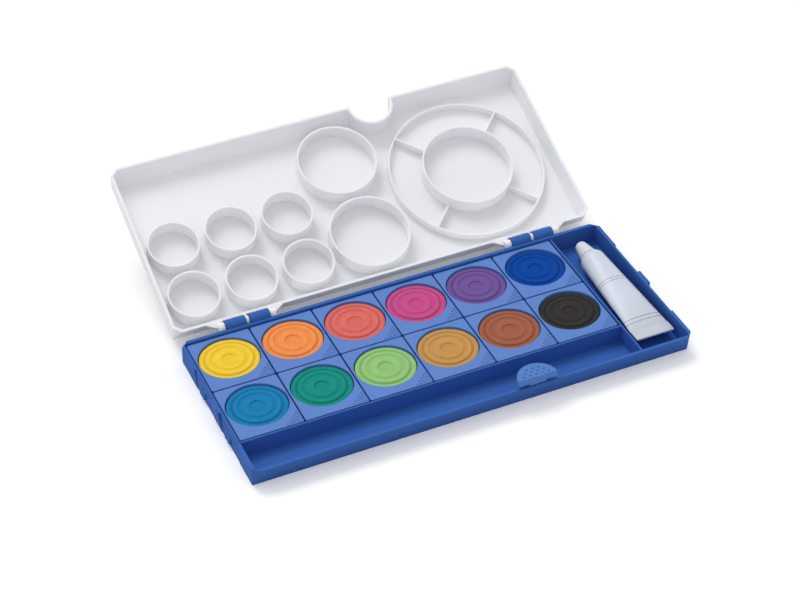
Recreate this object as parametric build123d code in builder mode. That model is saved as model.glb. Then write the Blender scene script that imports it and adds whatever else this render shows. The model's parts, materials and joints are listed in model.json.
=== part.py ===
from build123d import *
import os
from math import cos, radians, sin

# Watercolour paint set: a shallow hinged box of paint pans with a mixing palette in its lid.
# Units are millimetres and degrees. The origin is the centre of the underside, +Z is up,
# +X runs along the box and +Y points back to the hinge. The lid stands open at rest.

# Box walls
RIM_WALL = 1.9          # thickness of the outer walls at the rim
FLOOR = 1.8             # thickness of the floor
PARTITION = 1.0         # thickness of the two inner partitions
PARTITION_DROP = 1.0    # partitions end this far below the rim
BASE_HEIGHT = 12.5      # underside to rim
FRONT_LEAN = 5.7        # the front wall leans in by this much from rim to underside
END_LEAN = 0.6          # each end wall leans in by this much
CORNER_CUT = 4.0        # facet on each corner at the rim, which runs out to nothing below
FACET_WALL = 0.7        # least wall behind a corner facet
BAY_WIDTH = 25.9        # the bay for the paint tube
TRAY_WIDTH = 21.9       # the brush tray, measured at the rim
TRAY_ROUND = 6.5        # round between the tray's floor and its sloping front

# Paint pans
COLUMNS = 6
ROWS = 2
PAN_LENGTH = 33.2
PAN_WIDTH = 38.7
PAN_GAP = 0.8           # gap round every pan
PAN_DROP = 1.0          # pan tops lie this far below the rim
PAN_CORNER = 1.0        # rounded upright corners
PAN_EDGE = 0.3          # rounded top edges
PAN_SKIN = 0.9          # thickness of a pan's skirt
PAN_TOP = 1.2           # thickness of a pan's top
WELL_RADIUS = 15.85     # round well that holds the paint
WELL_DEPTH = 8.2
WELL_SKIN = 0.75        # thickness of the well's wall and floor
WELL_SETBACK = 1.7      # the well lies this far behind the middle of its pan

# Small raised dashes on the front right corner of each pan
DASH_ROWS = 5
DASH_LENGTH = 1.2
DASH_WIDTH = 0.55
DASH_HEIGHT = 0.25
DASH_PITCH = 1.7
DASH_MARGIN = 1.2       # middle of the outermost dashes from the pan's sides

# Pressed paint tablets
TABLET_RADIUS = 15.4
TABLET_THICKNESS = 7.2  # at the outer ring
TABLET_EDGE = 0.6       # rounded upper edge
# Relief from the outer ring inwards, as shares of the radius, and the heights that go with them
TABLET_SHARES = (0.87, 0.84, 0.80, 0.77, 0.60, 0.57, 0.53, 0.50, 0.26, 0.23, 0.0)
TABLET_RISES = (0.0, -0.25, -0.25, 0.35, 0.35, 0.1, 0.1, 0.7, 0.7, 0.25, 0.25)

# Hinge
HINGE_SETBACK = 2.55    # hinge axis behind the base's back wall
HINGE_RISE = 0.1        # hinge axis above the rim
HINGE_MIDDLE = 80.4     # middle of each hinge from the middle of the box
PIN_RADIUS = 1.4
PIN_CLEARANCE = 0.06
KNUCKLE_RADIUS = 3.0
KNUCKLE_LENGTH = 10.8
KNUCKLE_SPACE = 2.2     # gap between the two knuckles of a hinge
KNUCKLE_MOUTH = 2.2     # open side of each push-fit knuckle
KNUCKLE_WEB_LOW = 5.0   # foot of the web under a knuckle, above the underside
EAR_RADIUS = 2.2
EAR_LENGTH = 3.4        # the lid's outer ears
EAR_PLAY = 0.3          # end play between ears and knuckles
EAR_REACH = 4.8         # the ears' arms meet the lid's wall down to this depth
EAR_BRACE = 6.5         # a brace runs from each outer ear this far along the lid's wall
BRACE_THICKNESS = 1.6
HEEL = 3.6              # length of the heel that stops the lid
HEEL_GAP = 0.15         # heel to back wall at rest
HEEL_THICKNESS = 1.8
OPEN_ANGLE = 157.6      # the lid opens this far and stops

# Lid, seen from its hollow side
LID_NEAR = 3.5          # hinge axis to the lid's rim
LID_REACH = 105.0       # the lid's rim, from hinge side to free side
LID_OVER = 0.3          # the lid is this much longer than the base
LID_SEAT = 0.3          # gap between the two rims when shut
LID_HEIGHT = 12.4
LID_RIM = 1.5           # thickness of the lid's walls
LID_SKIN = 1.2          # thickness of the lid's top
LID_END_LEAN = 0.9      # end walls lean in by this much
LID_SIDE_LEAN = 4.2     # hinge side and free side lean in by this much

# Mixing wells moulded in the lid
RING_WALL = 1.0
RING_DROP = 2.8         # the wells' rims lie this far below the lid's rim
SMALL_RADIUS = 13.35    # to the middle of the ring's wall
SMALL_PITCH = 31.6
SMALL_LEFT = 18.1       # first small well from the lid's left rim
SMALL_NEAR = 21.2       # first row of small wells from the lid's hinge-side rim
BIG_RADIUS = 21.3
BIG_LEFT = 119.1
BIG_NEAR = 28.8
BIG_PITCH = 47.4
DEEP_RADIUS = 24.5      # the well inside the mixing circle
CIRCLE_RADIUS = 42.6    # the low ring round the mixing circle
CIRCLE_LEFT = 185.9
CIRCLE_NEAR = 52.0
CIRCLE_HEIGHT = 4.4
SPOKES = 4
SPOKE_TURN = 45.0       # the first spoke, from the long direction

# Latch
LATCH_X = 30.7
TAB_RADIUS = 10.5
TAB_THICKNESS = 3.2
TAB_RISE = 2.3          # underside of the tab above the rim
TAB_EDGE = 0.6          # rounded upper edge
STEM_WIDTH = 9.0
STEM_THICKNESS = 1.8
STEM_SETBACK = 1.25     # middle of the stem behind the front wall's face
STEM_PLAY = 0.15        # gap between the stem's round foot and the rim
NOTCH_RADIUS = 11.4
NOTCH_INSET = 1.6       # the notch's middle from the lid's free rim
DIMPLE_LENGTH = 1.5
DIMPLE_WIDTH = 0.9
DIMPLE_DEPTH = 0.3
DIMPLE_PITCH = 3.3
DIMPLE_ROWS = 3
DIMPLE_FIRST = 5        # dimples in the front row
DIMPLE_SPACING = 2.3    # one row of dimples to the next
DIMPLE_MARGIN = 1.9     # front row behind the tab's front edge

# Scoops, lands and bumps on the end walls
SCOOP_LENGTH = 25.0
SCOOP_DEPTH = 0.8
LAND_LENGTH = 11.0      # proud land between the two scoops
LAND_PROUD = 0.85
BUMP_LENGTH = 6.0
BUMP_HEIGHT = 6.0
BUMP_PROUD = 1.35
BUMP_LOW = 2.6          # foot of each bump above the underside
BUMP_PLACES = (20.0, -16.0)

# Paint tube
TUBE_RADIUS = 6.75
TUBE_SKIN = 0.4
TUBE_PLAY = 0.15        # the tube lies this far above the floor
TUBE_BODY = 61.8        # shoulder to crimp
TUBE_STEPS = 6          # sections between the shoulder and the crimp
CRIMP_WIDTH = 21.0
CRIMP_LENGTH = 6.7
CRIMP_THICKNESS = 1.3
SHOULDER = 3.2
NECK_RADIUS = 2.8
NECK_LENGTH = 6.5
NECK_BORE = 1.9
CAP_LENGTH = 11.8
CAP_FOOT_RADIUS = 4.85
CAP_TIP_RADIUS = 2.95
CAP_ROUND = 2.4
CAP_CLEARANCE = 0.08
CAP_SEAT = 0.3          # gap between cap and shoulder, and over the neck's end
CAP_BACK_ROOM = 7.85    # cap to the bay's back wall
FILL_GAP = 0.06         # paint to the tube's inside

OVER = 1.0              # cutters run past the faces they cut by this much

# Sizes worked out from the values above
FIELD_LENGTH = COLUMNS * PAN_LENGTH + (COLUMNS + 1) * PAN_GAP
FIELD_WIDTH = ROWS * PAN_WIDTH + (ROWS + 1) * PAN_GAP
BOX_LENGTH = 2 * RIM_WALL + FIELD_LENGTH + PARTITION + BAY_WIDTH
BOX_WIDTH = 2 * RIM_WALL + FIELD_WIDTH + PARTITION + TRAY_WIDTH
BACK = BOX_WIDTH / 2
FRONT = -BOX_WIDTH / 2
END = BOX_LENGTH / 2
INNER_END = END - RIM_WALL
INNER_BACK = BACK - RIM_WALL
INNER_FRONT = FRONT + RIM_WALL
FIELD_RIGHT = FIELD_LENGTH - INNER_END
FIELD_FRONT = INNER_BACK - FIELD_WIDTH
BAY_LEFT = FIELD_RIGHT + PARTITION
TRAY_BACK = FIELD_FRONT - PARTITION
FRONT_SLOPE = FRONT_LEAN / BASE_HEIGHT
PAN_RIM = BASE_HEIGHT - PAN_DROP
PAN_HEIGHT = PAN_RIM - FLOOR
WELL_FLOOR = PAN_RIM - WELL_DEPTH
HINGE_Y = BACK + HINGE_SETBACK
HINGE_Z = BASE_HEIGHT + HINGE_RISE
LID_END = (BOX_LENGTH + LID_OVER) / 2
LID_FAR = LID_NEAR + LID_REACH
RIM_LEVEL = HINGE_RISE - LID_SEAT
LID_TOP = RIM_LEVEL - LID_HEIGHT
LID_FLOOR = LID_TOP + LID_SKIN
TUBE_X = BAY_LEFT + BAY_WIDTH / 2
TUBE_Z = FLOOR + TUBE_PLAY + TUBE_RADIUS
CAP_FOOT = INNER_BACK - CAP_BACK_ROOM - CAP_LENGTH
SHOULDER_TOP = CAP_FOOT - CAP_SEAT
SHOULDER_FOOT = SHOULDER_TOP - SHOULDER
CRIMP_TOP = SHOULDER_FOOT - TUBE_BODY

os.makedirs("parts", exist_ok=True)


def write(part, name):
    """Label a finished piece and write it under its own name."""
    part.label = name
    export_step(part, f"parts/{name}.step")


def facet(low, rim_a, rim_b, inside):
    """The plane through a low corner and two rim points, facing away from inside."""
    normal = (rim_a - low).cross(rim_b - low).normalized()
    if normal.dot(inside - low) > 0:
        normal = normal * -1
    return Plane(origin=low, z_dir=normal)


# The lid's own plane at rest: its origin is on the hinge axis, X is the box's X,
# Y runs from the hinge to the free side and Z points out of the hollow.
tilt = radians(180 - OPEN_ANGLE)
lid_plane = Plane(
    origin=(0, HINGE_Y, HINGE_Z),
    x_dir=(1, 0, 0),
    z_dir=(0, -sin(tilt), cos(tilt)),
)


def lid_edges(level):
    """Half length, near edge and far edge of the lid's outer wall at a level."""
    share = (RIM_LEVEL - level) / LID_HEIGHT
    half = LID_END - share * LID_END_LEAN
    near = LID_NEAR + share * LID_SIDE_LEAN
    far = LID_FAR - share * LID_SIDE_LEAN
    return half, near, far


def lid_section(level, inset):
    """The outline of the lid's outer wall at a level, moved in by the inset."""
    half, near, far = lid_edges(level)
    with BuildSketch(lid_plane.offset(level)) as section:
        with Locations((0, (near + far) / 2)):
            Rectangle(2 * (half - inset), far - near - 2 * inset)
    return section.sketch


# Corner facets of the base and of the lid
base_facets = []
for side in (-1, 1):
    for rim_y, low_y, inward in ((BACK, BACK, -CORNER_CUT), (FRONT, FRONT + FRONT_LEAN, CORNER_CUT)):
        base_facets.append(
            facet(
                Vector(side * (END - END_LEAN), low_y, 0),
                Vector(side * (END - CORNER_CUT), rim_y, BASE_HEIGHT),
                Vector(side * END, rim_y + inward, BASE_HEIGHT),
                Vector(0, 0, BASE_HEIGHT / 2),
            )
        )

top_half, top_near, top_far = lid_edges(LID_TOP)
lid_middle = lid_plane.from_local_coords(Vector(0, (LID_NEAR + LID_FAR) / 2, LID_TOP / 2))
lid_facets = []
for side in (-1, 1):
    for rim_y, top_y, inward in ((LID_NEAR, top_near, CORNER_CUT), (LID_FAR, top_far, -CORNER_CUT)):
        lid_facets.append(
            facet(
                lid_plane.from_local_coords(Vector(side * top_half, top_y, LID_TOP)),
                lid_plane.from_local_coords(Vector(side * (LID_END - CORNER_CUT), rim_y, RIM_LEVEL)),
                lid_plane.from_local_coords(Vector(side * LID_END, rim_y + inward, RIM_LEVEL)),
                lid_middle,
            )
        )

# Room inside the base: pan field, brush tray, tube bay and the space over the partitions
with BuildPart() as base_room:
    with BuildSketch(Plane.XY.offset(FLOOR)):
        with Locations((FIELD_LENGTH / 2 - INNER_END, INNER_BACK - FIELD_WIDTH / 2)):
            Rectangle(FIELD_LENGTH, FIELD_WIDTH)
    extrude(amount=BASE_HEIGHT + OVER - FLOOR)
    with BuildSketch(Plane.YZ.offset(-INNER_END)) as tray_section:
        with BuildLine():
            Polyline(
                (TRAY_BACK, FLOOR),
                (TRAY_BACK, BASE_HEIGHT + OVER),
                (INNER_FRONT - FRONT_SLOPE * OVER, BASE_HEIGHT + OVER),
                (INNER_FRONT + FRONT_SLOPE * (BASE_HEIGHT - FLOOR), FLOOR),
                close=True,
            )
        make_face()
        low_corners = tray_section.vertices().group_by(Axis.Y)[0]
        fillet(low_corners.sort_by(Axis.X)[0], TRAY_ROUND)
    extrude(amount=FIELD_LENGTH)
    with BuildSketch(Plane.YZ.offset(BAY_LEFT)):
        with BuildLine():
            Polyline(
                (INNER_BACK, FLOOR),
                (INNER_BACK, BASE_HEIGHT + OVER),
                (INNER_FRONT - FRONT_SLOPE * OVER, BASE_HEIGHT + OVER),
                (INNER_FRONT + FRONT_SLOPE * (BASE_HEIGHT - FLOOR), FLOOR),
                close=True,
            )
        make_face()
    extrude(amount=BAY_WIDTH)
    with BuildSketch(Plane.XY.offset(BASE_HEIGHT - PARTITION_DROP)):
        with Locations((FIELD_LENGTH / 2 - INNER_END, FIELD_FRONT - PARTITION / 2)):
            Rectangle(FIELD_LENGTH, PARTITION)
        with Locations((FIELD_RIGHT + PARTITION / 2, 0)):
            Rectangle(PARTITION, 2 * INNER_BACK)
    extrude(amount=PARTITION_DROP + OVER)
    for corner in base_facets:
        split(bisect_by=corner.offset(-FACET_WALL), keep=Keep.BOTTOM)

# Base with its hinge knuckles
with BuildPart() as base_tray:
    with BuildSketch(Plane.XY):
        with Locations((0, FRONT_LEAN / 2)):
            Rectangle(2 * (END - END_LEAN), BOX_WIDTH - FRONT_LEAN)
    with BuildSketch(Plane.XY.offset(BASE_HEIGHT)):
        Rectangle(BOX_LENGTH, BOX_WIDTH)
    loft()
    for corner in base_facets:
        split(bisect_by=corner, keep=Keep.BOTTOM)
    # Finger scoops in both end walls, with a proud land between them
    with BuildSketch(Plane.XY):
        for side in (-1, 1):
            for turn in (-1, 1):
                with Locations((side * (END - SCOOP_DEPTH + OVER), turn * (LAND_LENGTH + SCOOP_LENGTH) / 2)):
                    Rectangle(2 * OVER, SCOOP_LENGTH)
    extrude(amount=BASE_HEIGHT, mode=Mode.SUBTRACT)
    with BuildSketch(Plane.XZ) as land_section:
        for side in (-1, 1):
            with BuildLine():
                Polyline(
                    (side * (END + LAND_PROUD), BASE_HEIGHT),
                    (side * (END - END_LEAN), 0),
                    (side * (END - RIM_WALL / 2), 0),
                    (side * (END - RIM_WALL / 2), BASE_HEIGHT),
                    close=True,
                )
            make_face()
    extrude(amount=LAND_LENGTH / 2, both=True)
    # A tapered bump in each scoop
    for place in BUMP_PLACES:
        with BuildSketch(Plane.XZ.offset(-place)):
            for side in (-1, 1):
                with BuildLine():
                    Polyline(
                        (side * (END - SCOOP_DEPTH - RIM_WALL / 4), BUMP_LOW),
                        (side * (END - SCOOP_DEPTH + BUMP_PROUD), BUMP_LOW + BUMP_PROUD / 2),
                        (side * (END - SCOOP_DEPTH - RIM_WALL / 4), BUMP_LOW + BUMP_HEIGHT),
                        close=True,
                    )
                make_face()
        extrude(amount=BUMP_LENGTH / 2, both=True)
    add(base_room.part, mode=Mode.SUBTRACT)
    # Push-fit knuckles, each a C on a web that runs down the back wall
    for side in (-1, 1):
        for turn in (-1, 1):
            middle = side * HINGE_MIDDLE + turn * (KNUCKLE_LENGTH + KNUCKLE_SPACE) / 2
            with BuildSketch(Plane.YZ.offset(middle)):
                with Locations((HINGE_Y, HINGE_Z)):
                    Circle(KNUCKLE_RADIUS)
                with BuildLine():
                    Polyline(
                        (BACK - RIM_WALL / 2, BASE_HEIGHT),
                        (BACK - RIM_WALL / 2, KNUCKLE_WEB_LOW),
                        (BACK, KNUCKLE_WEB_LOW),
                        (HINGE_Y + KNUCKLE_RADIUS * cos(radians(30)), HINGE_Z - KNUCKLE_RADIUS / 2),
                        (HINGE_Y, HINGE_Z),
                        close=True,
                    )
                make_face()
                with Locations((HINGE_Y, HINGE_Z)):
                    Circle(PIN_RADIUS + PIN_CLEARANCE, mode=Mode.SUBTRACT)
                with Locations(Location((HINGE_Y, HINGE_Z), 45)):
                    Rectangle(
                        KNUCKLE_RADIUS + OVER,
                        KNUCKLE_MOUTH,
                        align=(Align.MIN, Align.CENTER),
                        mode=Mode.SUBTRACT,
                    )
            extrude(amount=KNUCKLE_LENGTH / 2, both=True)
write(base_tray.part, "base_tray")

# Room inside the lid, with the wall round the latch notch left standing
with BuildPart() as lid_room:
    loft(sections=[lid_section(LID_FLOOR, LID_RIM), lid_section(RIM_LEVEL + OVER, LID_RIM)])
    for corner in lid_facets:
        split(bisect_by=corner.offset(-LID_RIM), keep=Keep.BOTTOM)
    with BuildSketch(lid_plane.offset(LID_FLOOR)):
        with Locations((LATCH_X, LID_FAR - NOTCH_INSET)):
            Circle(NOTCH_RADIUS + LID_RIM)
    extrude(amount=RIM_LEVEL + OVER - LID_FLOOR, mode=Mode.SUBTRACT)

# Lid palette with its wells, latch notch and hinge pins
small_spots = []
for column in range(3):
    for row in range(2):
        small_spots.append(
            (SMALL_LEFT - LID_END + column * SMALL_PITCH, LID_NEAR + SMALL_NEAR + row * SMALL_PITCH)
        )
big_spots = [(BIG_LEFT - LID_END, LID_NEAR + BIG_NEAR + row * BIG_PITCH) for row in range(2)]
circle_spot = (CIRCLE_LEFT - LID_END, LID_NEAR + CIRCLE_NEAR)
ring_room = RIM_LEVEL - RING_DROP - LID_FLOOR
pin_half = KNUCKLE_LENGTH + KNUCKLE_SPACE / 2 + EAR_PLAY + EAR_LENGTH

with BuildPart() as lid_palette:
    loft(sections=[lid_section(LID_TOP, 0), lid_section(RIM_LEVEL, 0)])
    for corner in lid_facets:
        split(bisect_by=corner, keep=Keep.BOTTOM)
    add(lid_room.part, mode=Mode.SUBTRACT)
    with BuildSketch(lid_plane.offset(LID_TOP - OVER)):
        with Locations((LATCH_X, LID_FAR - NOTCH_INSET)):
            Circle(NOTCH_RADIUS)
    extrude(amount=LID_HEIGHT + 2 * OVER, mode=Mode.SUBTRACT)
    # Tall walls of the mixing wells
    with BuildSketch(lid_plane.offset(LID_FLOOR)):
        for spots, radius in (
            (small_spots, SMALL_RADIUS),
            (big_spots, BIG_RADIUS),
            ([circle_spot], DEEP_RADIUS),
        ):
            with Locations(*spots):
                Circle(radius + RING_WALL / 2)
            with Locations(*spots):
                Circle(radius - RING_WALL / 2, mode=Mode.SUBTRACT)
    extrude(amount=ring_room)
    # Low ring and spokes of the mixing circle
    with BuildSketch(lid_plane.offset(LID_FLOOR)):
        with Locations(circle_spot):
            Circle(CIRCLE_RADIUS + RING_WALL / 2)
            Circle(CIRCLE_RADIUS - RING_WALL / 2, mode=Mode.SUBTRACT)
            with PolarLocations((CIRCLE_RADIUS + DEEP_RADIUS) / 2, SPOKES, start_angle=SPOKE_TURN):
                Rectangle(CIRCLE_RADIUS - DEEP_RADIUS, RING_WALL)
    extrude(amount=CIRCLE_HEIGHT)
    # Hinge: two pins, each held by three ears with arms to the lid's wall
    for side in (-1, 1):
        pin_plane = Plane(
            origin=(side * HINGE_MIDDLE, HINGE_Y, HINGE_Z),
            x_dir=(0, cos(tilt), sin(tilt)),
            z_dir=(1, 0, 0),
        )
        with BuildSketch(pin_plane):
            Circle(PIN_RADIUS)
        extrude(amount=pin_half, both=True)
        ear_spans = (
            (-pin_half, EAR_LENGTH),
            (-KNUCKLE_SPACE / 2 + EAR_PLAY, KNUCKLE_SPACE - 2 * EAR_PLAY),
            (pin_half - EAR_LENGTH, EAR_LENGTH),
        )
        wall_share = EAR_REACH / LID_HEIGHT
        for start, length in ear_spans:
            with BuildSketch(pin_plane.offset(start)):
                Circle(EAR_RADIUS)
                with BuildLine():
                    Polyline(
                        (0, RIM_LEVEL),
                        (LID_NEAR + LID_RIM / 2, RIM_LEVEL),
                        (LID_NEAR + wall_share * LID_SIDE_LEAN + LID_RIM / 2, RIM_LEVEL - EAR_REACH),
                        (0, -EAR_RADIUS),
                        close=True,
                    )
                make_face()
            extrude(amount=length)
        # Sloping braces from the outer ears to the lid's wall
        with BuildSketch(lid_plane.offset(RIM_LEVEL)):
            for turn in (-1, 1):
                ear_end = side * HINGE_MIDDLE + turn * pin_half
                with BuildLine():
                    Polyline(
                        (ear_end - turn * EAR_LENGTH / 2, 0),
                        (ear_end, 0),
                        (ear_end + turn * EAR_BRACE, LID_NEAR + LID_RIM / 2),
                        (ear_end - turn * EAR_LENGTH / 2, LID_NEAR + LID_RIM / 2),
                        close=True,
                    )
                make_face()
        extrude(amount=-BRACE_THICKNESS)
        # Heels that meet the back wall and stop the open lid
        for start, length in (ear_spans[0], ear_spans[2]):
            with BuildSketch(Plane.YZ.offset(side * HINGE_MIDDLE + start)):
                with BuildLine():
                    Polyline(
                        (HINGE_Y, HINGE_Z),
                        (BACK + HEEL_GAP, HINGE_Z),
                        (BACK + HEEL_GAP, HINGE_Z - HEEL),
                        (BACK + HEEL_GAP + HEEL_THICKNESS, HINGE_Z - HEEL),
                        close=True,
                    )
                make_face()
            extrude(amount=length)
write(lid_palette.part, "lid_palette")

# Latch: a half-round thumb tab on a springy stem
stem_y = FRONT + STEM_SETBACK
stem_z = BASE_HEIGHT + STEM_PLAY + STEM_THICKNESS / 2
tab_low = BASE_HEIGHT + TAB_RISE
with BuildPart() as latch_tab:
    with BuildSketch(Plane.XY.offset(tab_low)):
        with Locations((LATCH_X, FRONT)):
            Circle(TAB_RADIUS)
            Rectangle(2 * TAB_RADIUS, TAB_RADIUS, align=(Align.CENTER, Align.MAX), mode=Mode.SUBTRACT)
    extrude(amount=TAB_THICKNESS)
    fillet(latch_tab.faces().sort_by(Axis.Z)[-1].edges(), TAB_EDGE)
    for row in range(DIMPLE_ROWS):
        with BuildSketch(Plane.XY.offset(tab_low + TAB_THICKNESS)):
            with Locations((LATCH_X, FRONT + DIMPLE_MARGIN + row * DIMPLE_SPACING)):
                with GridLocations(DIMPLE_PITCH, DIMPLE_PITCH, DIMPLE_FIRST - row, 1):
                    Ellipse(DIMPLE_LENGTH / 2, DIMPLE_WIDTH / 2)
        extrude(amount=-DIMPLE_DEPTH, mode=Mode.SUBTRACT)
    with BuildSketch(Plane.YZ.offset(LATCH_X)):
        with Locations((stem_y, stem_z)):
            Circle(STEM_THICKNESS / 2)
            Rectangle(
                STEM_THICKNESS,
                tab_low + TAB_THICKNESS / 2 - stem_z,
                align=(Align.CENTER, Align.MIN),
            )
    extrude(amount=STEM_WIDTH / 2, both=True)
write(latch_tab.part, "latch_tab")

# One pan: a shell with a cup in its top and raised dashes on one corner
with BuildPart() as pan:
    with BuildSketch(Plane.XY.offset(FLOOR)):
        RectangleRounded(PAN_LENGTH, PAN_WIDTH, PAN_CORNER)
    extrude(amount=PAN_HEIGHT)
    fillet(pan.faces().sort_by(Axis.Z)[-1].edges(), PAN_EDGE)
    with BuildSketch(Plane.XY.offset(FLOOR)):
        Rectangle(PAN_LENGTH - 2 * PAN_SKIN, PAN_WIDTH - 2 * PAN_SKIN)
        with Locations((0, WELL_SETBACK)):
            Circle(WELL_RADIUS + WELL_SKIN, mode=Mode.SUBTRACT)
    extrude(amount=PAN_HEIGHT - PAN_TOP, mode=Mode.SUBTRACT)
    with BuildSketch(Plane.XY.offset(FLOOR)):
        Rectangle(PAN_LENGTH - 2 * PAN_SKIN, PAN_WIDTH - 2 * PAN_SKIN)
    extrude(amount=WELL_FLOOR - WELL_SKIN - FLOOR, mode=Mode.SUBTRACT)
    with BuildSketch(Plane.XY.offset(WELL_FLOOR)):
        with Locations((0, WELL_SETBACK)):
            Circle(WELL_RADIUS)
    extrude(amount=WELL_DEPTH, mode=Mode.SUBTRACT)
    with BuildSketch(Plane.XY.offset(PAN_RIM)):
        for row in range(DASH_ROWS):
            for place in range(DASH_ROWS - row):
                dash_x = PAN_LENGTH / 2 - DASH_MARGIN - place * DASH_PITCH
                dash_y = DASH_MARGIN + row * DASH_PITCH - PAN_WIDTH / 2
                with Locations((dash_x, dash_y)):
                    SlotOverall(DASH_LENGTH, DASH_WIDTH)
    extrude(amount=DASH_HEIGHT)

# One tablet: a disc with two raised rings and a dish in the middle
with BuildPart() as tablet:
    with BuildSketch(Plane.XZ.offset(-WELL_SETBACK)) as tablet_section:
        top = WELL_FLOOR + TABLET_THICKNESS
        with BuildLine():
            Polyline(
                (0, WELL_FLOOR),
                (TABLET_RADIUS, WELL_FLOOR),
                (TABLET_RADIUS, top),
                *[(share * TABLET_RADIUS, top + rise) for share, rise in zip(TABLET_SHARES, TABLET_RISES)],
                close=True,
            )
        make_face()
        fillet(tablet_section.vertices().group_by(Axis.X)[-1].sort_by(Axis.Y)[-1], TABLET_EDGE)
    revolve(axis=Axis((0, WELL_SETBACK, 0), (0, 0, 1)))

# Twelve pans, each with its tablet, numbered from the back left
for row in range(ROWS):
    for column in range(COLUMNS):
        number = row * COLUMNS + column + 1
        place = Location((
            PAN_GAP + PAN_LENGTH / 2 + column * (PAN_LENGTH + PAN_GAP) - INNER_END,
            INNER_BACK - PAN_GAP - PAN_WIDTH / 2 - row * (PAN_WIDTH + PAN_GAP),
            0,
        ))
        write(pan.part.moved(place), f"pan_{number:02d}")
        write(tablet.part.moved(place), f"tablet_{number:02d}")


def tube_section(step, inset):
    """A cross-section of the tube, round at the shoulder and flat at the crimp."""
    share = step / TUBE_STEPS
    thin = TUBE_RADIUS + share * (CRIMP_THICKNESS / 2 - TUBE_RADIUS)
    spread = 1 - (thin / TUBE_RADIUS) ** 2
    wide = TUBE_RADIUS + spread * (CRIMP_WIDTH / 2 - TUBE_RADIUS)
    place = Plane(
        origin=(TUBE_X, SHOULDER_FOOT - share * TUBE_BODY, TUBE_Z),
        x_dir=(1, 0, 0),
        z_dir=(0, 1, 0),
    )
    with BuildSketch(place) as section:
        Ellipse(wide - inset, thin - inset)
    return section.sketch


tube_axis = Axis((TUBE_X, 0, TUBE_Z), (0, 1, 0))
tube_side = Plane.YZ.offset(TUBE_X)

# Tube body: a thin skin, its shoulder and neck, and the flat crimped end
with BuildPart() as tube_body:
    loft(sections=[tube_section(step, 0) for step in range(TUBE_STEPS + 1)])
    with BuildSketch(tube_side):
        with BuildLine():
            Polyline(
                (SHOULDER_FOOT, TUBE_Z),
                (SHOULDER_FOOT, TUBE_Z + TUBE_RADIUS),
                (SHOULDER_TOP, TUBE_Z + CAP_FOOT_RADIUS),
                (SHOULDER_TOP, TUBE_Z + NECK_RADIUS),
                (SHOULDER_TOP + NECK_LENGTH, TUBE_Z + NECK_RADIUS),
                (SHOULDER_TOP + NECK_LENGTH, TUBE_Z),
                close=True,
            )
        make_face()
    revolve(axis=tube_axis)
    with BuildSketch(Plane.XY.offset(TUBE_Z)):
        with Locations((TUBE_X, CRIMP_TOP)):
            Rectangle(CRIMP_WIDTH, CRIMP_LENGTH, align=(Align.CENTER, Align.MAX))
    extrude(amount=CRIMP_THICKNESS / 2, both=True)
    loft(
        sections=[tube_section(step, TUBE_SKIN) for step in range(TUBE_STEPS + 1)],
        mode=Mode.SUBTRACT,
    )
    with BuildSketch(tube_side):
        with Locations((SHOULDER_FOOT - OVER, TUBE_Z)):
            Rectangle(
                SHOULDER + NECK_LENGTH + 2 * OVER,
                NECK_BORE,
                align=(Align.MIN, Align.MIN),
            )
    revolve(axis=tube_axis, mode=Mode.SUBTRACT)
write(tube_body.part, "tube_body")

# Paint inside the tube
with BuildPart() as tube_paint:
    loft(sections=[tube_section(step, TUBE_SKIN + FILL_GAP) for step in range(TUBE_STEPS + 1)])
write(tube_paint.part, "tube_paint")

# Smooth tapered cap
with BuildPart() as tube_cap:
    with BuildSketch(tube_side) as cap_section:
        with BuildLine():
            Polyline(
                (CAP_FOOT, TUBE_Z),
                (CAP_FOOT, TUBE_Z + CAP_FOOT_RADIUS),
                (CAP_FOOT + CAP_LENGTH, TUBE_Z + CAP_TIP_RADIUS),
                (CAP_FOOT + CAP_LENGTH, TUBE_Z),
                close=True,
            )
        make_face()
        fillet(cap_section.vertices().group_by(Axis.X)[-1].sort_by(Axis.Y)[-1], CAP_ROUND)
    revolve(axis=tube_axis)
    with BuildSketch(tube_side):
        with Locations((CAP_FOOT - OVER, TUBE_Z)):
            Rectangle(
                NECK_LENGTH + OVER,
                NECK_RADIUS + CAP_CLEARANCE,
                align=(Align.MIN, Align.MIN),
            )
    revolve(axis=tube_axis, mode=Mode.SUBTRACT)
write(tube_cap.part, "tube_cap")
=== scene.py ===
"""Watercolour paint set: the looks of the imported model, laid out as a Blender add-on."""
import json
from math import radians

import bpy
from mathutils import Matrix, Vector

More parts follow.
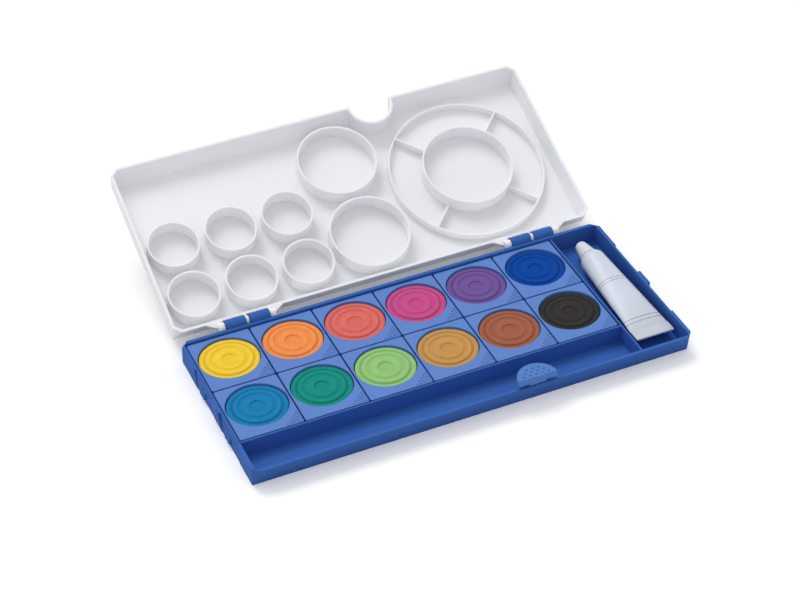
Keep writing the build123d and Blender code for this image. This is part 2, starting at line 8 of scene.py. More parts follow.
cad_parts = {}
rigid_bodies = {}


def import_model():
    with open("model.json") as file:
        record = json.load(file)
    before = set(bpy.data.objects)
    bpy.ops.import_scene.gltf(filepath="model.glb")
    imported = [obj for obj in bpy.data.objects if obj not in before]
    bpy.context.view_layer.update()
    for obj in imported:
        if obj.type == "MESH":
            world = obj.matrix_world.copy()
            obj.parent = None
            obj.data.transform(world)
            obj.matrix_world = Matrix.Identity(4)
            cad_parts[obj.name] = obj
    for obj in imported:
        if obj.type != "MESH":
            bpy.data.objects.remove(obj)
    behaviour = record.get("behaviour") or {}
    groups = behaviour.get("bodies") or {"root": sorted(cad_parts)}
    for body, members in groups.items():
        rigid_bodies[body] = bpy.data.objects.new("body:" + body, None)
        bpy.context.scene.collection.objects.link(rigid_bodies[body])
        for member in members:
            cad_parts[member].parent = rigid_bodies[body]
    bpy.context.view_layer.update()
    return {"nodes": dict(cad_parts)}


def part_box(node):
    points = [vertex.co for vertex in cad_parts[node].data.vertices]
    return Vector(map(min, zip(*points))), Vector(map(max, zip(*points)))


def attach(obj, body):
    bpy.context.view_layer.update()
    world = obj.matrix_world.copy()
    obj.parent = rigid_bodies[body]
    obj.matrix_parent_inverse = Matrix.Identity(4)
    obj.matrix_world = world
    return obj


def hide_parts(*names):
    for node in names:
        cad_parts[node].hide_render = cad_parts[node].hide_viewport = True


bl_info = {
    "name": "Watercolour paint set",
    "version": (1, 0, 0),
    "blender": (4, 5, 0),
    "location": "3D View > Sidebar > Paint set",
    "description": "Tablets, tube and cap, plastics, paints and stage around the packed model",
    "category": "Add Mesh",
}

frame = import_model()

MM = 0.001

# The pans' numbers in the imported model, row by row from the back left
PAN_NUMBERS = tuple(f"{number:02d}" for number in range(1, 13))

# Their paints, in the same order
PAINT_NAMES = (
    "yellow", "orange", "red", "magenta", "violet", "ultramarine",
    "sky_blue", "teal", "light_green", "ochre", "brown", "black",
)

# Where the camera stood for the photograph, with its lens and sensor in mm and its reach in metres
CAMERA_EYE = Vector((-0.33663, -0.781064, 0.712748))
CAMERA_RIGHT = Vector((0.91658, -0.39873, -0.02996))
CAMERA_AHEAD = Vector((0.29544, 0.72582, -0.6212))
CAMERA_LENS = 98.854
CAMERA_SENSOR = 36.0
CAMERA_REACH = 20.0

# Direction from the object to the main light: above, behind and a little to the left
LIGHT_FROM = Vector((-0.15, 0.5, 1.0))

# Side of the paper in metres, and its tone for the light that it throws back onto the object
PAPER_SIZE = 6.0
PAPER_UNSEEN = "E6E6E6"
# Share of white that the paper shows beyond its own light, so that it is white up to the shadows
PAPER_LIFT = 0.14

# Refractive indices of the plastics
BLUE_INDEX = 1.5
LID_INDEX = 1.55
CAP_INDEX = 1.5
# How deep the tool's texture stands in the plastics
COARSE_SKIN = 0.02 * MM
FINE_SKIN = 0.01 * MM
# Light straight off the surface, where a half is a plain plastic's: the box is dull, the pans less so
PLAIN_SHINE = 0.5
BOX_SHINE = 0.06
LATCH_SHINE = 0.15
PAN_SHINE = 0.4
# Share of the light that soaks into the lid's thin white walls, and how far it gets
LID_GLOW = 0.7
GLOW_DEPTH = 2 * MM
# The cap comes from its tool a little smoother than the box
CAP_ROUGHNESS = 0.42

# Sides of the round pieces, and steps along the tube's flattened length
TABLET_SIDES = 96
TUBE_SIDES = 72
CAP_SIDES = 64
TUBE_STEPS = 30
# A face counts as turned towards an axis where its normal leans this far to it
TURNED = 0.9
# Edges sharper than these are rounded
TABLET_ROUND_ANGLE = radians(20)
ROUND_ANGLE = radians(60)
# Faces that meet more bluntly than these are shaded as one
TABLET_SMOOTH_ANGLE = radians(35)
TUBE_SMOOTH_ANGLE = radians(50)
SMOOTH_ANGLE = radians(40)

# A point on the tube's shoulder: shares of its length and of its rise
SHOULDER_ALONG = 0.25
SHOULDER_RISE = 0.45
# The higher, the closer to its fold the tube's fuller part ends
BULGE_POWER = 8
# Handling dents the skin most in the middle of its flattened length, and not at the two ends
DENTS_RISE = 3.5
DENTS_START = 0.3
# How wide the dents are, and the grey of their pattern that leaves the skin in its place
DENTS_ACROSS = 11 * MM
DENTS_MIDDLE = 0.6
# Places of the printed rings, in millimetres from the shoulder's foot and from the hem
RINGS_FROM_SHOULDER = (22.5, 24.4)
RINGS_FROM_HEM = (8.0, 5.5)
# Rounds of the fold and of the hem's other edges, as shares of its thickness
FOLD_ROUND = 0.45
HEM_ROUND = 0.12
# Round of the cap's edges
CAP_ROUND = 0.2 * MM


# Small tools

def linear(hex_colour):
    """A linear colour with alpha from an sRGB hex string."""
    parts = [int(hex_colour[i:i + 2], 16) / 255 for i in (0, 2, 4)]
    straight = [c / 12.92 if c <= 0.04045 else ((c + 0.055) / 1.055) ** 2.4 for c in parts]
    return (*straight, 1.0)


def shaded(colour, share):
    """The same colour, darker or lighter by a share."""
    return (*(min(1.0, part * share) for part in colour[:3]), 1.0)


def colour_property(name, about, hex_colour):
    """A colour that a user can change."""
    return bpy.props.FloatVectorProperty(
        name=name, description=about, default=linear(hex_colour), size=4, subtype="COLOR",
        min=0.0, max=1.0,
    )


def length_property(name, about, size):
    """A length that a user can change; the size is in millimetres."""
    return bpy.props.FloatProperty(
        name=name, description=about, default=size * MM, unit="LENGTH", precision=5,
    )


def share_property(name, about, share):
    """A share between none and all that a user can change."""
    return bpy.props.FloatProperty(
        name=name, description=about, default=share, subtype="FACTOR", min=0.0, max=1.0,
    )


def deselect():
    """Leave nothing selected before a new piece is started."""
    bpy.ops.object.select_all(action="DESELECT")


def settle(piece, name):
    """Name a new piece and put its place into its mesh."""
    piece.name = name
    piece.data.name = name
    bpy.ops.object.transform_apply(location=True, rotation=True, scale=True)


def pick_faces(piece, wanted):
    """Select only the wanted faces, in edit mode."""
    bpy.ops.object.mode_set(mode="EDIT")
    bpy.ops.mesh.select_mode(type="FACE")
    bpy.ops.mesh.select_all(action="DESELECT")
    bpy.ops.object.mode_set(mode="OBJECT")
    for face in piece.data.polygons:
        face.select = wanted(face)
    bpy.ops.object.mode_set(mode="EDIT")


def pick_edges(piece, wanted):
    """Select only the edges whose two ends are wanted, in edit mode."""
    bpy.ops.object.mode_set(mode="EDIT")
    bpy.ops.mesh.select_mode(type="EDGE")
    bpy.ops.mesh.select_all(action="DESELECT")
    bpy.ops.object.mode_set(mode="OBJECT")
    corners = piece.data.vertices
    for edge in piece.data.edges:
        edge.select = wanted(*(corners[index].co for index in edge.vertices))
    bpy.ops.object.mode_set(mode="EDIT")


def extrude(move):
    """Extrude what is selected and move it."""
    bpy.ops.mesh.extrude_region_move(TRANSFORM_OT_translate={"value": move})


def grow(scale, centre):
    """Scale what is selected about a point."""
    bpy.ops.transform.resize(value=scale, center_override=centre)


def round_edges(piece, width, angle, segments=3):
    """Round every edge sharper than an angle, and apply the modifier."""
    bpy.ops.object.mode_set(mode="OBJECT")
    modifier = piece.modifiers.new("round_edges", "BEVEL")
    modifier.width = width
    modifier.segments = segments
    modifier.limit_method = "ANGLE"
    modifier.angle_limit = angle
    bpy.ops.object.modifier_apply(modifier=modifier.name)


def finish_mesh(angle):
    """Turn the faces outwards, leave edit mode and shade the piece smooth up to an angle."""
    bpy.ops.object.mode_set(mode="EDIT")
    bpy.ops.mesh.select_all(action="SELECT")
    bpy.ops.mesh.normals_make_consistent(inside=False)
    bpy.ops.object.mode_set(mode="OBJECT")
    bpy.ops.object.shade_smooth_by_angle(angle=angle)


def paint_all(obj, material):
    """Give a piece one material on every slot."""
    if not obj.material_slots:
        obj.data.materials.append(material)
    for slot in obj.material_slots:
        slot.material = material


# Materials

def add_node(tree, kind, inputs=None, **settings):
    """Add a shader node with its settings, values and links."""
    node = tree.nodes.new(kind)
    for name, value in settings.items():
        setattr(node, name, value)
    for key, value in (inputs or {}).items():
        if isinstance(value, bpy.types.NodeSocket):
            tree.links.new(value, node.inputs[key])
        else:
            node.inputs[key].default_value = value
    return node


def new_material(name):
    """An empty node material, ready for a surface."""
    material = bpy.data.materials.new(name)
    material.use_nodes = True
    material.node_tree.nodes.clear()
    return material, material.node_tree


def shown_rays(tree):
    """One for rays that show the background: straight to the camera, mirrored or through glass."""
    path = add_node(tree, "ShaderNodeLightPath")
    straight = add_node(
        tree, "ShaderNodeMath",
        {0: path.outputs["Is Camera Ray"], 1: path.outputs["Is Glossy Ray"]},
        operation="MAXIMUM",
    )
    every = add_node(
        tree, "ShaderNodeMath",
        {0: straight.outputs[0], 1: path.outputs["Is Transmission Ray"]},
        operation="MAXIMUM",
    )
    return every.outputs[0]


def moulded_plastic(name, colour, roughness, index, skin_depth, edge, shine=PLAIN_SHINE, glow=0.0):
    """Injection-moulded plastic: nearly even colour, the tool's fine skin and softly rounded edges."""
    material, tree = new_material(name)
    place = add_node(tree, "ShaderNodeTexCoord").outputs["Object"]
    # The melt's flow shows as a faint, broad change of tone, some 35 mm across
    flow_scale, flow_shade = 28.0, 0.93
    flow = add_node(tree, "ShaderNodeTexNoise", {"Vector": place, "Scale": flow_scale, "Detail": 3.0})
    tone = add_node(
        tree, "ShaderNodeMix",
        {"Factor": flow.outputs["Fac"], "A": colour, "B": shaded(colour, flow_shade)},
        data_type="RGBA",
    )
    # The tool's fine texture, about a quarter of a millimetre, makes the gloss a little uneven
    skin_scale, skin_strength, glossier, duller = 3600.0, 0.35, 0.04, 0.05
    skin = add_node(tree, "ShaderNodeTexNoise", {"Vector": place, "Scale": skin_scale, "Detail": 2.0})
    rough = add_node(
        tree, "ShaderNodeMapRange",
        {"Value": skin.outputs["Fac"], "To Min": roughness - glossier, "To Max": roughness + duller},
    )
    soft_edge = add_node(tree, "ShaderNodeBevel", {"Radius": edge}, samples=6)
    bump = add_node(
        tree, "ShaderNodeBump",
        {
            "Height": skin.outputs["Fac"], "Distance": skin_depth, "Strength": skin_strength,
            "Normal": soft_edge.outputs["Normal"],
        },
    )
    surface = add_node(
        tree, "ShaderNodeBsdfPrincipled",
        {
            "Base Color": tone.outputs["Result"], "Roughness": rough.outputs["Result"],
            "Normal": bump.outputs["Normal"], "IOR": index, "Specular IOR Level": shine,
            "Subsurface Weight": glow, "Subsurface Scale": GLOW_DEPTH,
            "Subsurface Radius": (1.0, 1.0, 1.0),
        },
    )
    add_node(tree, "ShaderNodeOutputMaterial", {"Surface": surface.outputs["BSDF"]})
    return material


def pressed_paint(name, colour, deep, proud):
    """Pressed watercolour: a dry cake, matt, a little cloudy and grainy, and darker in its grooves as
    painted shade.
    """
    material, tree = new_material(name)
    place = add_node(tree, "ShaderNodeTexCoord").outputs["Object"]
    # Binder and pigment never mix quite evenly: clouds about 4 mm across
    cloud_scale, cloud_dark, cloud_light = 260.0, 0.86, 1.12
    cloud = add_node(tree, "ShaderNodeTexNoise", {"Vector": place, "Scale": cloud_scale, "Detail": 5.0})
    tone = add_node(
        tree, "ShaderNodeMix",
        {
            "Factor": cloud.outputs["Fac"], "A": shaded(colour, cloud_dark),
            "B": shaded(colour, cloud_light),
        },
        data_type="RGBA",
    )
    # Painted shade: the colour is darkened by height, so the low rings and grooves read darker than the
    # proud ones
    groove_shade = 0.8
    height = add_node(tree, "ShaderNodeSeparateXYZ", {0: place}).outputs["Z"]
    packed = add_node(
        tree, "ShaderNodeMapRange", {"Value": height, "From Min": deep, "From Max": proud},
    )
    groove_shaded_tone = add_node(
        tree, "ShaderNodeMix",
        {
            "Factor": packed.outputs["Result"], "A": shaded(colour, groove_shade),
            "B": tone.outputs["Result"],
        },
        data_type="RGBA",
    )
    # Pigment grain of 0.15 mm
    grain_scale, grain_depth, grain_strength = 6500.0, 0.04 * MM, 0.4
    grain = add_node(tree, "ShaderNodeTexNoise", {"Vector": place, "Scale": grain_scale, "Detail": 2.0})
    bump = add_node(
        tree, "ShaderNodeBump",
        {"Height": grain.outputs["Fac"], "Distance": grain_depth, "Strength": grain_strength},
    )
    # A dry cake scatters the light and has next to no shine
    dry_roughness, dry_shine = 0.75, 0.05
    surface = add_node(
        tree, "ShaderNodeBsdfPrincipled",
        {
            "Base Color": groove_shaded_tone.outputs["Result"], "Roughness": dry_roughness,
            "Normal": bump.outputs["Normal"], "Specular IOR Level": dry_shine,
        },
    )
    add_node(tree, "ShaderNodeOutputMaterial", {"Surface": surface.outputs["BSDF"]})
    return material


def printed_lacquer(name, colour, ink, lines, half_width, hem):
    """White satin lacquer on a paint tube, with thin printed rings at the given places along it and
    painted shade towards its folded end.
    """
    material, tree = new_material(name)
    place = add_node(tree, "ShaderNodeTexCoord").outputs["Object"]
    along = add_node(tree, "ShaderNodeSeparateXYZ", {0: place}).outputs["Y"]
    rings = add_node(
        tree, "ShaderNodeMath", {0: along, 1: lines[0], 2: half_width}, operation="COMPARE",
    ).outputs[0]
    for line in lines[1:]:
        ring = add_node(tree, "ShaderNodeMath", {0: along, 1: line, 2: half_width}, operation="COMPARE")
        rings = add_node(
            tree, "ShaderNodeMath", {0: rings, 1: ring.outputs[0]}, operation="MAXIMUM",
        ).outputs[0]
    # The lacquer's tone wanders a little over some 20 mm
    tone_scale, tone_shade = 50.0, 0.95
    cloud = add_node(tree, "ShaderNodeTexNoise", {"Vector": place, "Scale": tone_scale, "Detail": 2.0})
    ground = add_node(
        tree, "ShaderNodeMix",
        {"Factor": cloud.outputs["Fac"], "A": colour, "B": shaded(colour, tone_shade)},
        data_type="RGBA",
    )
    # Painted shade: the last 25 mm before the folded end are a little greyer
    hem_shade_length, hem_shade = 25 * MM, 0.86
    away_from_hem = add_node(
        tree, "ShaderNodeMapRange", {"Value": along, "From Min": hem, "From Max": hem + hem_shade_length},
    )
    handled = add_node(
        tree, "ShaderNodeMix",
        {
            "Factor": away_from_hem.outputs["Result"], "A": shaded(colour, hem_shade),
            "B": ground.outputs["Result"],
        },
        data_type="RGBA",
    )
    # Ink lies thin, so its strength varies round each ring, over a millimetre or so
    wear_scale, faintest = 900.0, 0.6
    wear = add_node(tree, "ShaderNodeTexNoise", {"Vector": place, "Scale": wear_scale, "Detail": 3.0})
    strength = add_node(
        tree, "ShaderNodeMapRange",
        {
            "Value": wear.outputs["Fac"], "From Min": 0.3, "From Max": 0.6,
            "To Min": faintest, "To Max": 1.0,
        },
    )
    inked = add_node(
        tree, "ShaderNodeMath", {0: rings, 1: strength.outputs["Result"]}, operation="MULTIPLY",
    )
    print_mix = add_node(
        tree, "ShaderNodeMix",
        {"Factor": inked.outputs[0], "A": handled.outputs["Result"], "B": ink},
        data_type="RGBA",
    )
    satin_roughness = 0.38
    surface = add_node(
        tree, "ShaderNodeBsdfPrincipled",
        {"Base Color": print_mix.outputs["Result"], "Roughness": satin_roughness},
    )
    add_node(tree, "ShaderNodeOutputMaterial", {"Surface": surface.outputs["BSDF"]})
    return material


def studio_paper(colour, unseen):
    """White seamless paper: white to the camera, and a little darker for the light it throws upwards."""
    material, tree = new_material("white_studio_paper")
    shown = shown_rays(tree)
    tone = add_node(tree, "ShaderNodeMix", {"Factor": shown, "A": unseen, "B": colour}, data_type="RGBA")
    shade = add_node(tree, "ShaderNodeBsdfDiffuse", {"Color": tone.outputs["Result"], "Roughness": 1.0})
    glow = add_node(tree, "ShaderNodeMath", {0: shown, 1: PAPER_LIFT}, operation="MULTIPLY")
    lift = add_node(tree, "ShaderNodeEmission", {"Color": colour, "Strength": glow.outputs[0]})
    both = add_node(
        tree, "ShaderNodeAddShader", {0: shade.outputs["BSDF"], 1: lift.outputs["Emission"]},
    )
    add_node(tree, "ShaderNodeOutputMaterial", {"Surface": both.outputs["Shader"]})
    return material


# What a user can change

class CaseLooks(bpy.types.PropertyGroup):
    """Colours and edges of the moulded parts."""

    box_blue: colour_property("Box blue", "Colour of the box", "3A66B2")
    pan_blue: colour_property("Pan blue", "Colour of the lift-out pans and the latch", "527CC4")
    lid_white: colour_property("Lid white", "Colour of the mixing palette lid", "F0F1F5")
    edge: length_property("Edge round", "How softly the moulded edges catch the light", 0.35)
    box_roughness: share_property("Box roughness", "Roughness of the blue plastic", 0.6)
    lid_roughness: share_property("Lid roughness", "Roughness of the white plastic", 0.4)


class PaintColours(bpy.types.PropertyGroup):
    """The twelve pressed paints."""

    yellow: colour_property("Yellow", "Back row, first pan", "EFCB3C")
    orange: colour_property("Orange", "Back row, second pan", "EF9252")
    red: colour_property("Red", "Back row, third pan", "DA6C66")
    magenta: colour_property("Magenta", "Back row, fourth pan", "C4508A")
    violet: colour_property("Violet", "Back row, fifth pan", "6F5595")
    ultramarine: colour_property("Ultramarine", "Back row, sixth pan", "0A469C")
    sky_blue: colour_property("Sky blue", "Front row, first pan", "1E7DB2")
    teal: colour_property("Teal", "Front row, second pan", "1A8C80")
    light_green: colour_property("Light green", "Front row, third pan", "92C27A")
    ochre: colour_property("Ochre", "Front row, fourth pan", "C49454")
    brown: colour_property("Brown", "Front row, fifth pan", "A06048")
    black: colour_property("Black", "Front row, sixth pan", "343332")


class TabletSizes(bpy.types.PropertyGroup):
    """Relief that the press leaves in a tablet."""

    groove: length_property("Groove depth", "Depth of the groove inside the outer ring", 0.45)
    shelf: length_property("Shelf height", "Height of the broad ring above the outer ring", 0.4)
    step: length_property("Step depth", "Depth of the narrow step under the outer ring", 0.15)
    crown: length_property("Crown height", "Height of the inner ring above the outer ring", 0.7)
    table: length_property("Table height", "Height of the table round the inner ring", 0.45)
    dish: length_property("Dish depth", "Depth of the middle dish under the outer ring", 0.1)
    edge: length_property("Edge round", "Round on the relief's edges", 0.26)


class TubeLooks(bpy.types.PropertyGroup):
    """Sizes and colours of the paint tube and its cap."""

    skin_white: colour_property("Tube white", "Colour of the tube's lacquer", "CAD2DE")
    ink: colour_property("Ink", "Colour of the printed rings", "3E4856")
    cap_white: colour_property("Cap white", "Colour of the cap", "D4D8E0")
    neck_radius: length_property("Neck radius", "Radius of the neck under the cap", 2.8)
    neck_length: length_property("Neck length", "Length of the neck above the shoulder", 6.5)
    collar: length_property("Collar radius", "Radius where the shoulder meets the neck", 4.7)
    shoulder: length_property("Shoulder length", "Length of the sloping shoulder", 3.2)
    hem_length: length_property("Hem length", "Length of the folded flat end", 6.7)
    hem_thickness: length_property("Hem thickness", "Thickness of the folded flat end", 1.3)
    bulge: share_property("Bulge", "How much fuller the tube stays just before its folded end", 0.22)
    dent: length_property("Dents", "How far the flattened skin is uneven", 0.8)
    line_width: length_property("Line width", "Width of each printed ring", 0.34)
    tip_radius: length_property("Cap tip radius", "Radius of the cap near its tip", 2.95)
    tip_round: length_property("Cap tip round", "Round at the cap's tip", 2.4)
    cap_wall: length_property("Cap wall", "Thickness of the cap's wall at its foot", 1.9)


class StageLooks(bpy.types.PropertyGroup):
    """Light and background."""

    paper: colour_property("Paper", "Colour of the paper as the camera sees it", "FFFFFF")
    sky: bpy.props.FloatProperty(
        name="Sky light", description="Strength of the even light from all round", default=0.7, min=0.0,
    )
    key: bpy.props.FloatProperty(
        name="Key light", description="Strength of the soft light from above", default=1.25, min=0.0,
    )
    key_size: bpy.props.FloatProperty(
        name="Key size", description="How wide the soft light is", default=radians(30), subtype="ANGLE",
    )


# Pieces

class CaseOperator(bpy.types.Operator):
    """Give the box, its latch and the palette lid their plastics."""

    bl_idname = "paint_set.case"
    bl_label = "Box, latch and lid"

    def execute(self, context):
        looks = context.scene.paint_set_case
        blue = moulded_plastic(
            "blue_moulded_polystyrene", looks.box_blue, looks.box_roughness, BLUE_INDEX, COARSE_SKIN,
            looks.edge, BOX_SHINE,
        )
        white = moulded_plastic(
            "white_moulded_polystyrene", looks.lid_white, looks.lid_roughness, LID_INDEX, FINE_SKIN,
            looks.edge, PLAIN_SHINE, LID_GLOW,
        )
        worn_blue = moulded_plastic(
            "thumbed_blue_polystyrene", looks.pan_blue, looks.box_roughness, BLUE_INDEX, COARSE_SKIN,
            looks.edge, LATCH_SHINE,
        )
        paint_all(frame["nodes"]["base_tray"], blue)
        paint_all(frame["nodes"]["latch_tab"], worn_blue)
        paint_all(frame["nodes"]["lid_palette"], white)
        return {"FINISHED"}


class PansOperator(bpy.types.Operator):
    """Give the twelve lift-out pans their plastic."""

    bl_idname = "paint_set.pans"
    bl_label = "Pans"

    def execute(self, context):
        looks = context.scene.paint_set_case
        blue = moulded_plastic(
            "blue_polystyrene_pans", looks.pan_blue, looks.box_roughness, BLUE_INDEX, COARSE_SKIN,
            looks.edge, PAN_SHINE,
        )
        for number in PAN_NUMBERS:
            paint_all(frame["nodes"][f"pan_{number}"], blue)
        return {"FINISHED"}


class TabletsOperator(bpy.types.Operator):
    """Press one paint tablet with its rings, and set a copy in every pan."""

    bl_idname = "paint_set.tablets"
    bl_label = "Pressed tablets"

    def execute(self, context):
        sizes = context.scene.paint_set_tablets
        paints = context.scene.paint_set_paints
        low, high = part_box("tablet_01")
        radius = (high.x - low.x) / 2
        middle = (low + high) / 2
        ring_top = high.z - sizes.crown
        deselect()
        bpy.ops.mesh.primitive_cylinder_add(
            vertices=TABLET_SIDES, radius=radius, depth=ring_top - low.z,
            location=(middle.x, middle.y, (ring_top + low.z) / 2),
        )
        tablet = context.object
        settle(tablet, "pressed_tablet_01")
        # The top face is inset from ring to ring: share of the radius, height over the outer ring
        relief = (
            (0.87, 0.0), (0.84, -sizes.groove), (0.80, -sizes.groove), (0.77, sizes.shelf),
            (0.65, sizes.shelf), (0.62, -sizes.step), (0.53, -sizes.step), (0.50, sizes.table),
            (0.33, sizes.table), (0.30, sizes.crown), (0.26, sizes.crown), (0.23, -sizes.dish),
            (0.12, -sizes.dish),
        )
        pick_faces(tablet, lambda face: face.normal.z > TURNED)
        share, rise = 1.0, 0.0
        for next_share, next_rise in relief:
            bpy.ops.mesh.inset(thickness=(share - next_share) * radius, depth=0.0)
            bpy.ops.transform.translate(value=(0.0, 0.0, next_rise - rise))
            share, rise = next_share, next_rise
        round_edges(tablet, sizes.edge, TABLET_ROUND_ANGLE)
        finish_mesh(TABLET_SMOOTH_ANGLE)
        for number in PAN_NUMBERS[1:]:
            piece = tablet.copy()
            piece.data = tablet.data.copy()
            piece.name = piece.data.name = f"pressed_tablet_{number}"
            context.collection.objects.link(piece)
            piece.data.transform(Matrix.Translation(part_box(f"tablet_{number}")[0] - low))
        for number, paint in zip(PAN_NUMBERS, PAINT_NAMES):
            piece = bpy.data.objects[f"pressed_tablet_{number}"]
            paint_all(piece, pressed_paint(
                f"pressed_watercolour_{paint}", getattr(paints, paint),
                ring_top - sizes.groove, ring_top,
            ))
            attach(piece, f"pan_{number}")
            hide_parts(f"tablet_{number}")
        return {"FINISHED"}


class TubeOperator(bpy.types.Operator):
    """Draw the paint tube out from its neck to the folded flat end."""

    bl_idname = "paint_set.tube"
    bl_label = "Paint tube"

    def execute(self, context):
        looks = context.scene.paint_set_tube
        low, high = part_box("tube_body")
        centre = (low + high) / 2
        radius = (high.z - low.z) / 2
        half_width = (high.x - low.x) / 2
        collar_y = high.y - looks.neck_length
        body_y = collar_y - looks.shoulder
        hem_y = low.y + looks.hem_length
        deselect()
        bpy.ops.mesh.primitive_circle_add(
            vertices=TUBE_SIDES, radius=looks.neck_radius, fill_type="NGON",
            location=(centre.x, high.y, centre.z), rotation=(radians(90), 0.0, 0.0),
        )
        tube = context.object
        settle(tube, "paint_tube")
        shoulder = looks.collar + SHOULDER_RISE * (radius - looks.collar)
        # The skin lies in two layers at the hem's root and in four in the hem, and this is half of it
        root = looks.hem_thickness / 4
        # Each section: its place along the tube, half its width and half its height
        sections = [
            (collar_y, looks.neck_radius, looks.neck_radius),
            (collar_y, looks.collar, looks.collar),
            (collar_y - SHOULDER_ALONG * looks.shoulder, shoulder, shoulder),
            (body_y, radius, radius),
        ]
        for step in range(1, TUBE_STEPS + 1):
            share = step / TUBE_STEPS
            # The fill keeps the tube round until close to the fold
            fall = share - looks.bulge * (share - share ** BULGE_POWER)
            thin = radius + fall * (root - radius)
            wide = radius + (1 - (thin / radius) ** 2) * (half_width - radius)
            sections.append((body_y + share * (hem_y - body_y), wide, thin))
        pick_faces(tube, lambda face: True)
        past_y, past_wide, past_thin = high.y, looks.neck_radius, looks.neck_radius
        for along, wide, thin in sections:
            extrude((0.0, along - past_y, 0.0))
            grow((wide / past_wide, 1.0, thin / past_thin), (centre.x, along, centre.z))
            past_y, past_wide, past_thin = along, wide, thin
        bpy.ops.mesh.select_all(action="SELECT")
        bpy.ops.mesh.remove_doubles(threshold=0.001 * MM)
        bpy.ops.object.mode_set(mode="OBJECT")
        # Handling leaves the flattened half of the skin slightly uneven
        handled = tube.vertex_groups.new(name="handled")
        for corner in tube.data.vertices:
            share = (body_y - corner.co.y) / (body_y - hem_y)
            weight = DENTS_RISE * share * (1.0 - share) - DENTS_START
            handled.add([corner.index], max(0.0, min(1.0, weight)), "REPLACE")
        dents = bpy.data.textures.new("soft_dents", "CLOUDS")
        dents.noise_scale = DENTS_ACROSS
        uneven = tube.modifiers.new("uneven", "DISPLACE")
        uneven.texture = dents
        uneven.texture_coords = "LOCAL"
        uneven.strength = looks.dent
        uneven.mid_level = DENTS_MIDDLE
        uneven.vertex_group = handled.name
        bpy.ops.object.modifier_apply(modifier=uneven.name)
        finish_mesh(TUBE_SMOOTH_ANGLE)
        # The end is folded over itself: a flat hem with a rounded fold and soft sides
        deselect()
        bpy.ops.mesh.primitive_cube_add(
            size=1.0, location=(centre.x, low.y + looks.hem_length / 2, centre.z),
            scale=(2 * half_width, looks.hem_length, looks.hem_thickness),
        )
        hem = context.object
        settle(hem, "tube_hem")
        pick_edges(hem, lambda a, b: max(a.y, b.y) < low.y + MM and abs(a.x - b.x) > MM)
        bpy.ops.mesh.bevel(offset=FOLD_ROUND * looks.hem_thickness, segments=4)
        round_edges(hem, HEM_ROUND * looks.hem_thickness, ROUND_ANGLE, segments=2)
        finish_mesh(SMOOTH_ANGLE)
        tube.select_set(True)
        context.view_layer.objects.active = tube
        bpy.ops.object.join()
        lines = [body_y - back * MM for back in RINGS_FROM_SHOULDER]
        lines += [hem_y + ahead * MM for ahead in RINGS_FROM_HEM]
        paint_all(tube, printed_lacquer(
            "white_tube_lacquer", looks.skin_white, looks.ink, lines, looks.line_width / 2, hem_y,
        ))
        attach(tube, "tube")
        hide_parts("tube_body")
        # The paint inside is the same pigment and binder, still wet, and doesn't show
        paint_all(frame["nodes"]["tube_paint"], pressed_paint(
            "white_tube_paint", looks.cap_white, low.z, high.z,
        ))
        return {"FINISHED"}


class CapOperator(bpy.types.Operator):
    """Turn the tube's tapered cap with its rounded tip and hollow foot."""

    bl_idname = "paint_set.cap"
    bl_label = "Tube cap"

    def execute(self, context):
        looks = context.scene.paint_set_tube
        low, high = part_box("tube_cap")
        middle = (low + high) / 2
        radius = (high.x - low.x) / 2
        deselect()
        bpy.ops.mesh.primitive_cylinder_add(
            vertices=CAP_SIDES, radius=radius, depth=high.y - low.y, location=middle,
            rotation=(radians(90), 0.0, 0.0),
        )
        cap = context.object
        settle(cap, "tube_cap_cone")
        taper = looks.tip_radius / radius
        pick_faces(cap, lambda face: face.normal.y > TURNED)
        grow((taper, 1.0, taper), (middle.x, high.y, middle.z))
        bpy.ops.mesh.bevel(offset=looks.tip_round, segments=9)
        pick_faces(cap, lambda face: face.normal.y < -TURNED)
        bpy.ops.mesh.inset(thickness=looks.cap_wall, depth=0.0)
        extrude((0.0, looks.neck_length, 0.0))
        round_edges(cap, CAP_ROUND, ROUND_ANGLE, segments=2)
        finish_mesh(SMOOTH_ANGLE)
        paint_all(cap, moulded_plastic(
            "white_moulded_polyethylene", looks.cap_white, CAP_ROUGHNESS, CAP_INDEX, COARSE_SKIN,
            context.scene.paint_set_case.edge,
        ))
        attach(cap, "cap")
        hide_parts("tube_cap")
        return {"FINISHED"}


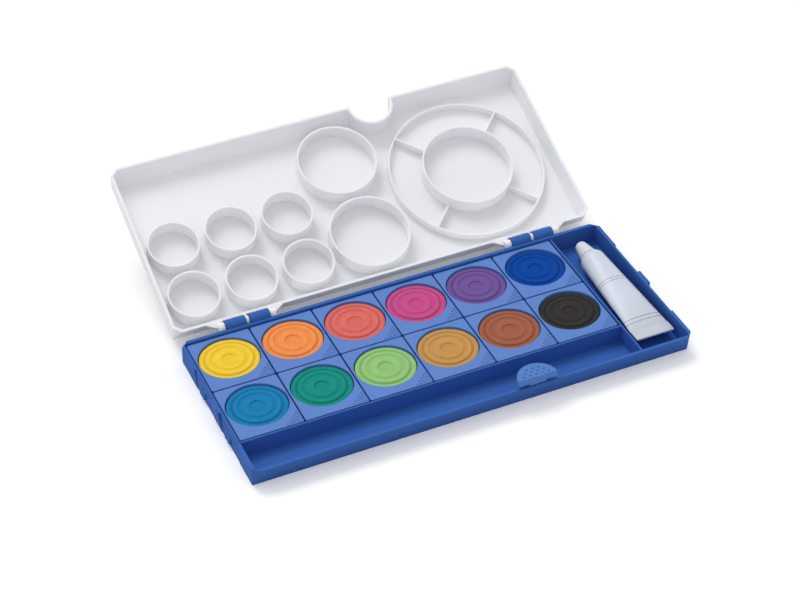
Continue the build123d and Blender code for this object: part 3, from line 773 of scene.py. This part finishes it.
class StageOperator(bpy.types.Operator):
    """Set up the camera, the white paper, the even sky and one wide soft light."""

    bl_idname = "paint_set.stage"
    bl_label = "Stage"

    def execute(self, context):
        looks = context.scene.paint_set_stage
        scene = context.scene
        scene.view_settings.view_transform = "Standard"
        camera_data = bpy.data.cameras.new("camera")
        camera_data.lens = CAMERA_LENS
        camera_data.sensor_width = CAMERA_SENSOR
        camera_data.clip_end = CAMERA_REACH
        camera = bpy.data.objects.new("camera", camera_data)
        camera_up = CAMERA_RIGHT.cross(CAMERA_AHEAD)
        turn = Matrix((CAMERA_RIGHT, camera_up, -CAMERA_AHEAD)).transposed()
        camera.matrix_world = Matrix.Translation(CAMERA_EYE) @ turn.to_4x4()
        scene.collection.objects.link(camera)
        scene.camera = camera

        deselect()
        bpy.ops.mesh.primitive_plane_add(size=PAPER_SIZE, location=(0.0, 0.0, 0.0))
        floor = context.object
        floor.name = "studio_floor"
        paint_all(floor, studio_paper(looks.paper, linear(PAPER_UNSEEN)))

        world = bpy.data.worlds.new("even_studio")
        scene.world = world
        world.use_nodes = True
        tree = world.node_tree
        tree.nodes.clear()
        # The sky lights the object evenly, and is plain white where it is seen or mirrored
        white = linear("FFFFFF")
        sky = add_node(tree, "ShaderNodeBackground", {"Color": white, "Strength": looks.sky})
        seen = add_node(tree, "ShaderNodeBackground", {"Color": white, "Strength": 1.0})
        mixed = add_node(
            tree, "ShaderNodeMixShader", {0: shown_rays(tree), 1: sky.outputs[0], 2: seen.outputs[0]},
        )
        add_node(tree, "ShaderNodeOutputWorld", {"Surface": mixed.outputs[0]})

        key = bpy.data.lights.new("key_light", "SUN")
        key.energy = looks.key
        key.angle = looks.key_size
        holder = bpy.data.objects.new("key_light", key)
        holder.rotation_euler = (-LIGHT_FROM).to_track_quat("-Z", "Y").to_euler()
        scene.collection.objects.link(holder)
        return {"FINISHED"}


class PaintSetPanel(bpy.types.Panel):
    """Buttons for the pieces and the values that they use."""

    bl_idname = "VIEW3D_PT_paint_set"
    bl_label = "Paint set"
    bl_space_type = "VIEW_3D"
    bl_region_type = "UI"
    bl_category = "Paint set"

    def draw(self, context):
        for operator, groups in BUTTONS:
            box = self.layout.box()
            box.operator(operator.bl_idname)
            for group in groups:
                looks = getattr(context.scene, group)
                for name in looks.bl_rna.properties.keys():
                    if name not in ("rna_type", "name"):
                        box.prop(looks, name)


GROUPS = {
    "paint_set_case": CaseLooks,
    "paint_set_paints": PaintColours,
    "paint_set_tablets": TabletSizes,
    "paint_set_tube": TubeLooks,
    "paint_set_stage": StageLooks,
}
# Each operator with the groups that are listed under it; the pans use the box's, the cap the tube's
BUTTONS = (
    (CaseOperator, ("paint_set_case",)),
    (PansOperator, ()),
    (TabletsOperator, ("paint_set_tablets", "paint_set_paints")),
    (TubeOperator, ("paint_set_tube",)),
    (CapOperator, ()),
    (StageOperator, ("paint_set_stage",)),
)
CLASSES = (*GROUPS.values(), *(operator for operator, groups in BUTTONS), PaintSetPanel)


def register():
    """Register the classes and hang the property groups on the scene."""
    for cls in CLASSES:
        bpy.utils.register_class(cls)
    for name, group in GROUPS.items():
        setattr(bpy.types.Scene, name, bpy.props.PointerProperty(type=group))


def unregister():
    """Take the property groups and the classes away again."""
    for name in GROUPS:
        delattr(bpy.types.Scene, name)
    for cls in reversed(CLASSES):
        bpy.utils.unregister_class(cls)


def main():
    """Build every piece."""
    register()
    bpy.ops.paint_set.stage()
    bpy.ops.paint_set.case()
    bpy.ops.paint_set.pans()
    bpy.ops.paint_set.tablets()
    bpy.ops.paint_set.tube()
    bpy.ops.paint_set.cap()


if __name__ == "__main__":
    main()
